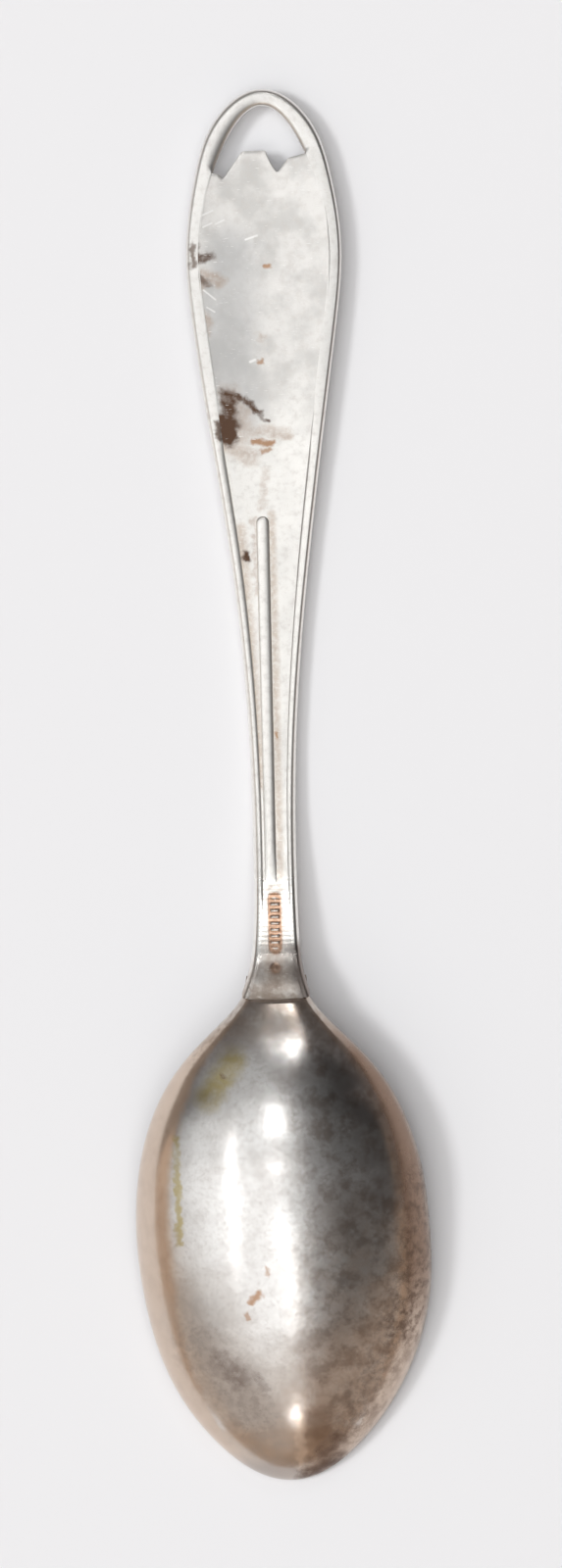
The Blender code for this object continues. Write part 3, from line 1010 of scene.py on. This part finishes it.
def bowl_paint(name):
    """Tarnished silver: pinkish towards the rim, mottled brown and grey, with a few spots, and
    painted darker reflections, rim shade and a tip highlight.
    """
    paint = Paint(name)
    edge = paint.node("ShaderNodeAttribute")
    edge.attribute_name = "edge"
    edge = edge.outputs["Fac"]
    clouds = paint.noise(0.16, 5.0, rough=0.6, wind=0.4)
    blotches = paint.noise(0.5, 5.0, rough=0.6, wind=0.3)
    grain = paint.noise(2.2, 5.0, rough=0.6)
    fine = paint.noise(9.0, 4.0)
    x, y, _ = paint.node("ShaderNodeSeparateXYZ", Vector=paint.place).outputs
    patchy = paint.smooth(blotches, 0.25, 0.65, 0.45, 1.0)
    tone = paint.mix(paint.smooth(clouds, 0.35, 0.7), BOWL_SILVER, CLOUDY_BOWL)
    tone = paint.mix(paint.smooth(grain, 0.45, 0.78, 0, 0.35), tone, GRAINY_BOWL)
    band = paint.smooth(paint.plus(edge, blotches, 0.10), 0.78, 0.86)
    band = paint.times(band, paint.smooth(y, -23.0, -26.5))
    tone = paint.mix(paint.times(band, 0.85), tone, PINK_BAND)
    tone = paint.mix(paint.times(paint.strokes(BOWL_VEILS), patchy), tone, PINK_VEIL)
    # Painted dark reflection on the upper right of the bowl, broken up by the blotches.
    tone = paint.mix(paint.times(paint.strokes(BOWL_PAINTED_DARK_REFLECTIONS), patchy), tone, PAINTED_REFLECTION_GREY)
    # Tarnish clouds, made stronger towards the right as a painted darker reflection there.
    cloudy = paint.smooth(paint.noise(0.6, 5.0, rough=0.6), 0.42, 0.66)
    cloudy = paint.times(cloudy, paint.smooth(x, -1.0, 5.0, 0.12, 0.6))
    tone = paint.mix(cloudy, tone, DARK_CLOUD_AND_REFLECTION)
    # Painted greyer reflection on the lower left of the bowl.
    tone = paint.mix(paint.times(paint.strokes(BOWL_PAINTED_GREY_REFLECTIONS), patchy), tone, PAINTED_REFLECTION_COOL_GREY)
    # A dark band along the right rim only: brown tarnish and the painted reflection of the shaded
    # table.
    rim = paint.times(paint.smooth(edge, 0.80, 0.86), paint.smooth(x, 4.0, 8.0))
    rim = paint.times(rim, paint.smooth(y, -59.0, -49.0, 0.15, 1.0))
    rim = paint.times(rim, paint.smooth(edge, 1.0, 0.965, 0.35, 0.92))
    tone = paint.mix(rim, tone, RIM_TARNISH_AND_SHADE)
    tip = paint.times(paint.smooth(y, -69.5, -72.0), paint.smooth(x, 2.5, 1.0))
    tone = paint.mix(paint.times(tip, 0.7), tone, TIP_GREY)
    heel = paint.times(paint.smooth(y, -28.5, -24.5), patchy)
    tone = paint.mix(paint.times(heel, 0.75), tone, TONGUE_BROWN)
    speckled = paint.smooth(paint.noise(1.1, 6.0, rough=0.65), 0.38, 0.66)
    mottle = paint.times(paint.strokes(BOWL_MOTTLES), speckled)
    tone = paint.mix(mottle, tone, MOTTLE_BROWN)
    tone = paint.mix(paint.times(paint.stroke(DARK_LINE, 1.3, 0.8), 0.6), tone, LINE_DARK)
    # A painted highlight: a light line down the tip.
    tone = paint.mix(paint.times(paint.stroke(TIP_PAINTED_HIGHLIGHT, 0.45, 0.8), 0.6), tone, PAINTED_HIGHLIGHT_TAN)
    tone = paint.mix(paint.times(paint.strokes(BOWL_OLIVES), patchy), tone, OLIVE)
    tone = paint.mix(paint.strokes(BOWL_RUSTS), tone, RUST)
    stain = paint.times(paint.strokes(BOWL_STAINS), paint.smooth(blotches, 0.3, 0.6, 0.4, 1.0))
    tone = paint.mix(stain, tone, BROWN)
    tone = paint.mix(paint.smooth(fine, 0.6, 0.75, 0, 0.4), tone, SPECK_BROWN)
    dirt = paint.math("MAXIMUM", stain, paint.times(mottle, 0.8))
    dirt = paint.math("MAXIMUM", dirt, paint.times(rim, 0.5))
    metallic = paint.math("SUBTRACT", 1.0, paint.times(dirt, 0.4))
    roughness = paint.plus(paint.plus(0.13, blotches, 0.12), dirt, 0.2)
    height = paint.times(paint.noise(0.16, 1.0), 0.08)
    height = paint.plus(height, paint.noise(0.6, 2.0), 0.012)
    height = paint.plus(height, grain, 0.0012)
    return paint.finish(tone, roughness, metallic, height)


def solder_paint(name):
    """Dull grey-brown solder with a fine grain."""
    paint = Paint(name)
    grain = paint.noise(3.0, 4.0)
    tone = paint.mix(grain, SOLDER_DARK, SOLDER_LIGHT)
    return paint.finish(tone, 0.35, 1.0, paint.times(grain, 0.006))


# ---------------------------------------------------------------- the studio


def toward(across, along):
    """The direction that many degrees to the right and to the top of straight up."""
    return Vector(
        (math.tan(math.radians(across)), math.tan(math.radians(along)), 1)
    ).normalized()


def add_lamp(name, across, along, wide, long, radiance, aim=(0, 0, 0), far=1.2):
    """A soft box seen from the aim over wide by long degrees, its long side along the spoon."""
    data = bpy.data.lights.new(name, "AREA")
    data.shape = "RECTANGLE"
    data.size = 2 * far * math.tan(math.radians(wide / 2))
    data.size_y = 2 * far * math.tan(math.radians(long / 2))
    data.energy = radiance * math.pi * data.size * data.size_y
    lamp = bpy.data.objects.new(name, data)
    bpy.context.scene.collection.objects.link(lamp)
    way = toward(across, along)
    lamp.location = Vector(aim) + way * far
    side = Vector((0, 1, 0)).cross(way).normalized()
    lamp.rotation_euler = Matrix((side, way.cross(side), way)).transposed().to_euler()
    return lamp


# Each lamp: degrees to the right and to the top, degrees wide and long, and radiance.
SHADOW_LAMPS = [
    ("key", -35, 2, 10, 13, 26.0),
    ("fill", -4, 0, 50, 50, 1.15),
]
SHADOW_LAMP_FAR = 4
BOWL_MIDDLE = (0, -0.046, 0.011)
BOWL_LAMPS = [
    ("strip", -24, -6.5, 1.5, 36, 3.6),
    ("window", -2, 16.5, 5.5, 8, 4.2),
    ("bar", -2, -2, 5.5, 2.6, 3.6),
    ("box", 0, -20, 6, 3, 1.8),
    ("box_tail", 2, -25.5, 1.6, 10, 3.2),
    ("pane", 7, 44, 4.5, 6, 12.0),
    ("low_pane", 6, -50, 4, 5, 7.0),
]


def make_lamps():
    """Two lamps that light and shade the table, and the boxes that the silver mirrors."""
    for lamp in SHADOW_LAMPS:
        add_lamp(*lamp, far=SHADOW_LAMP_FAR).visible_glossy = False
    for lamp in BOWL_LAMPS:
        add_lamp(*lamp, aim=BOWL_MIDDLE)


# The room that the silver mirrors: how bright it is by degrees from left to right and from the
# bowl's end to the arch's, and the walls near the table, which start LOW_START degrees down.
ACROSS = [
    (-72, 0.45),
    (-54, 0.62),
    (-44, 0.75),
    (-32, 0.84),
    (-19, 0.84),
    (-7, 0.92),
    (0, 0.90),
    (7, 0.60),
    (16, 0.25),
    (32, 0.12),
    (72, 0.10),
]
ALONG = [
    (-75, 1.0),
    (-45, 1.15),
    (-28, 1.25),
    (-3, 1.24),
    (1, 1.0),
    (15, 0.95),
    (27, 0.6),
    (38, 0.32),
    (75, 0.28),
]
LOW_WALLS = [(-90, (0.66, 0.55, 0.46)), (0, (0.45, 0.38, 0.32)), (90, (0.20, 0.165, 0.14))]
LOW_START = [(69, 0.0), (73, 1.0)]
# The wall at each end: how much of it covers the room by degrees, and its colour.
FOOT_WALL = ([(-46, 0.75), (-27, 0.0)], (0.50, 0.40, 0.325))
FAR_WALL = ([(33, 0.0), (46, 0.75)], (0.17, 0.155, 0.15))
BACKDROP = (0.80, 0.80, 0.81)


def make_world():
    """A room that is pale on the left and at the bowl's end, and darker on the right and beyond
    the arch. Straight behind the table, what is seen is a plain pale backdrop.
    """
    world = bpy.data.worlds.new("studio")
    bpy.context.scene.world = world
    world.use_nodes = True
    tree = world.node_tree

    def angle(operation, *sockets):
        made = tree.nodes.new("ShaderNodeMath")
        made.operation = operation
        for slot, socket in zip(made.inputs, sockets):
            tree.links.new(socket, slot)
        return made.outputs[0]

    def ramp(value, low, high, stops):
        """A colour ramp over degrees, from low to high."""
        share = tree.nodes.new("ShaderNodeMapRange")
        tree.links.new(value, share.inputs["Value"])
        share.inputs["From Min"].default_value = math.radians(low)
        share.inputs["From Max"].default_value = math.radians(high)
        made = tree.nodes.new("ShaderNodeValToRGB")
        tree.links.new(share.outputs[0], made.inputs["Fac"])
        band = made.color_ramp
        band.interpolation = "EASE"
        while len(band.elements) < len(stops):
            band.elements.new(0.5)
        for element, (degrees, colour) in zip(band.elements, stops):
            element.position = (degrees - low) / (high - low)
            if isinstance(colour, float):
                colour = (colour, colour, colour)
            element.color = (*colour, 1)
        return made.outputs["Color"]

    def mix(share, under, over, blend="MIX"):
        made = tree.nodes.new("ShaderNodeMix")
        made.data_type = "RGBA"
        made.blend_type = blend
        for index, value in ((0, share), (6, under), (7, over)):
            if isinstance(value, bpy.types.NodeSocket):
                tree.links.new(value, made.inputs[index])
            else:
                made.inputs[index].default_value = (*value, 1) if index else value
        return made.outputs[2]

    parts = tree.nodes.new("ShaderNodeSeparateXYZ")
    tree.links.new(tree.nodes.new("ShaderNodeTexCoord").outputs["Generated"], parts.inputs[0])
    x, y, z = parts.outputs
    right, far = angle("ARCTAN2", x, z), angle("ARCTAN2", y, z)
    room = mix(1, ramp(right, -90, 90, ACROSS), ramp(far, -90, 90, ALONG), "MULTIPLY")
    low = ramp(angle("ARCCOSINE", z), 0, 90, LOW_START)
    room = mix(low, room, ramp(right, -90, 90, LOW_WALLS))
    for stops, wall in (FOOT_WALL, FAR_WALL):
        room = mix(ramp(far, -90, 90, stops), room, wall)
    seen = tree.nodes.new("ShaderNodeLightPath").outputs["Is Camera Ray"]
    tree.links.new(mix(seen, room, BACKDROP), tree.nodes["Background"].inputs["Color"])


TABLE_HALF = 1200
PAPER = (0.815, 0.82, 0.84)


def make_table():
    """The sheet of pale paper under the spoon."""
    bm = bmesh.new()
    bmesh.ops.create_grid(bm, x_segments=1, y_segments=1, size=TABLE_HALF)
    floor = as_piece("table", bm)
    paper = bpy.data.materials.new("table_paper")
    paper.use_nodes = True
    shader = paper.node_tree.nodes["Principled BSDF"]
    shader.inputs["Base Color"].default_value = (*PAPER, 1)
    shader.inputs["Roughness"].default_value = 0.85
    shader.inputs["Specular IOR Level"].default_value = 0.2
    floor.data.materials.append(paper)


# In metres: how far the lens is over the spoon's back, and how long a field it takes in there.
CAMERA_HEIGHT = 0.62
SHOT_LENGTH = 0.16411
SPOON_BACK = 0.003
CAMERA_X, CAMERA_Y = 0.00059, 0.00014
CAMERA_TURN = -1.33
SENSOR = 24


def make_camera():
    """A camera that looks straight down, turned a little against the spoon."""
    data = bpy.data.cameras.new("camera")
    data.sensor_fit = "VERTICAL"
    data.sensor_height = SENSOR
    data.lens = SENSOR * CAMERA_HEIGHT / SHOT_LENGTH
    data.clip_start = 0.01
    camera = bpy.data.objects.new("camera", data)
    bpy.context.scene.collection.objects.link(camera)
    camera.location = (CAMERA_X, CAMERA_Y, CAMERA_HEIGHT + SPOON_BACK)
    camera.rotation_euler = (0, 0, math.radians(CAMERA_TURN))
    bpy.context.scene.camera = camera


def mark_edge(bowl):
    """Stores how near each point is to the rim, for the finish: 0 at the crown, 1 at the rim."""
    shares = []
    for vert in bowl.data.vertices:
        x, y, _ = vert.co / MM
        half = math.sqrt(max(bowl_half(y), 0.01))
        across = min(1.0, abs(x - centre(y)) / half)
        tip = min(1.0, max(0.0, (CROWN_Y - y) / (CROWN_Y - TIP_Y)))
        shares.append(max(across, tip))
    layer = bowl.data.attributes.new("edge", "FLOAT", "POINT")
    layer.data.foreach_set("value", shares)
    return bowl


bpy.context.scene.view_settings.view_transform = "Standard"
make_camera()
make_table()
make_world()
make_lamps()
stands_for(mark_edge(make_bowl()), "bowl", bowl_paint("bowl_silver"))
stands_for(make_plate(), "handle", handle_paint("handle_silver"))
WIRE_SILVER = wire_paint("wire_silver")
stands_for(make_border_wire(), "border_wire", WIRE_SILVER)
stands_for(make_rib(), "back_rib", WIRE_SILVER)
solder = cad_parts["heel_solder"]
solder.data.materials.clear()
solder.data.materials.append(solder_paint("solder"))
